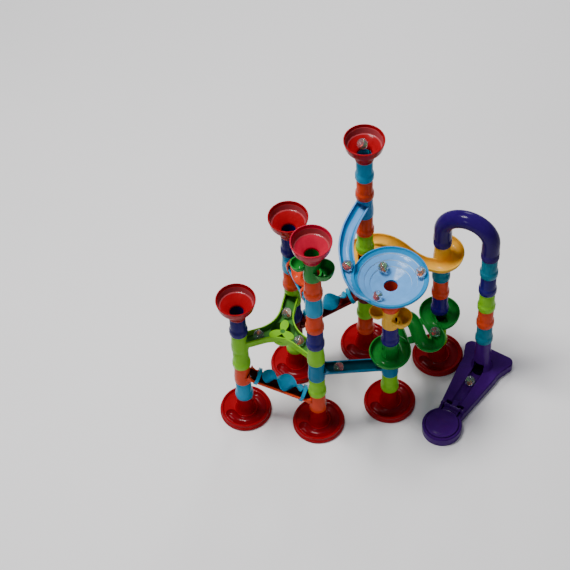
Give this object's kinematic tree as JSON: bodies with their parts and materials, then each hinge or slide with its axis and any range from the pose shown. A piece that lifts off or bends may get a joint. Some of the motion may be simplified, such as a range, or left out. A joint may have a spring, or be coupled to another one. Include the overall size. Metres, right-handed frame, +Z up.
{
  "type": "marble run",
  "caption": "Toy marble run of stacked plastic tube towers with funnels, ramps with spinners, curved chutes, a whirl bowl, a three-way channel, an arch pipe and a see-saw launcher",
  "frame": {"origin": "middle of the footprint, on the table", "axes": "+X to the launcher's side seen from the front, +Y to the tallest tower's side, +Z up"},
  "size_m": [0.4504, 0.2544, 0.4809],
  "materials": {
    "red": "glossy moulded",
    "crimson": "glossy moulded",
    "navy": "glossy moulded",
    "purple": "glossy moulded",
    "indigo": "glossy moulded",
    "lime": "glossy moulded",
    "cyan": "glossy moulded",
    "teal": "glossy moulded",
    "orange": "glossy moulded",
    "green": "glossy moulded",
    "yellow": "glossy moulded",
    "blue": "glossy moulded",
    "sky": "glossy moulded",
    "dark_red": "glossy moulded",
    "glass": "clear polished"
  },
  "bodies": {
    "run": {"base_left": "red", "tube_left_1": "cyan", "tube_left_2": "lime", "tube_left_3": "navy", "funnel_left": "red", "base_front_left": "red", "tube_front_left_1": "lime", "tube_front_left_2": "navy", "tube_front_left_3": "orange", "tube_front_left_4": "orange", "funnel_front_left": "crimson", "base_back_left": "red", "tube_back_left_1": "lime", "tube_back_left_2": "navy", "tube_back_left_3": "orange", "tube_back_left_4": "navy", "funnel_back_left": "red", "base_back_right": "red", "tube_back_right_1": "orange", "tube_back_right_2": "lime", "tube_back_right_3": "teal", "tube_back_right_4": "lime", "tube_back_right_5": "orange", "tube_back_right_6": "orange", "tube_back_right_7": "cyan", "funnel_back_right": "red", "base_front_right": "red", "tube_front_right_1": "lime", "tube_front_right_2": "purple", "tube_front_right_3": "orange", "base_right": "red", "tube_right_1": "lime", "tube_right_2": "purple", "tube_right_3": "orange", "tube_right_4": "teal", "tube_lift_1": "teal", "tube_lift_2": "orange", "tube_lift_3": "lime", "tube_lift_4": "navy", "tube_lift_5": "teal", "straight_channel": "blue", "ramp_front": "orange", "ramp_middle": "cyan", "ramp_rear": "dark_red", "three_way_channel": "lime", "folded_chute": "green", "sweeping_chute": "yellow", "whirl_bowl": "sky", "cup_front_left": "green", "cup_front_right": "yellow", "arch_pipe": "indigo", "launcher_body": "indigo", "launcher_pin": "indigo"},
    "lever": {"launcher_lever": "indigo"},
    "spinner_front": {"spinner_front": "cyan"},
    "spinner_middle": {"spinner_middle": "orange"},
    "spinner_rear": {"spinner_rear": "cyan"},
    "marble_channel": {"marble_channel": "glass"},
    "marble_whirl": {"marble_whirl": "glass"},
    "marble_launcher": {"marble_launcher": "glass"}
  },
  "joints": [
    {"name": "spinner_front_turn", "type": "hinge", "parent": "run", "child": "spinner_front", "pos_m": [-0.13334, 0.00091, 0.09379], "axis": [0.8166, -0.4715, -0.3329], "continuous": true},
    {"name": "spinner_middle_turn", "type": "hinge", "parent": "run", "child": "spinner_middle", "pos_m": [-0.08788, 0.03548, 0.29379], "axis": [0, 0.943, -0.3329], "continuous": true},
    {"name": "spinner_rear_turn", "type": "hinge", "parent": "run", "child": "spinner_rear", "pos_m": [-0.03539, 0.08797, 0.13379], "axis": [-0.943, 0, -0.3329], "continuous": true},
    {"name": "lever_hinge", "type": "hinge", "parent": "run", "child": "lever", "pos_m": [0.10844, -0.07559, 0.0165], "axis": [0.6561, -0.7547, 0], "range_deg": [0, 8], "stiffness_Nm_per_rad": 0.05, "springref_deg": -5.73},
    {"name": "marble_channel_roll", "type": "slide", "parent": "run", "child": "marble_channel", "axis": [0.943, 0, -0.3329], "range_m": [-0.024, 0.074]},
    {"name": "marble_launcher_roll", "type": "slide", "parent": "run", "child": "marble_launcher", "axis": [-0.7545, -0.6559, 0.0225], "range_m": [-0.026, 0.03]},
    {"name": "marble_whirl_orbit", "type": "hinge", "parent": "run", "child": "marble_whirl", "pos_m": [0.02542, -0.02533, 0.3176], "axis": [0, 0, 1], "continuous": true}
  ]
}
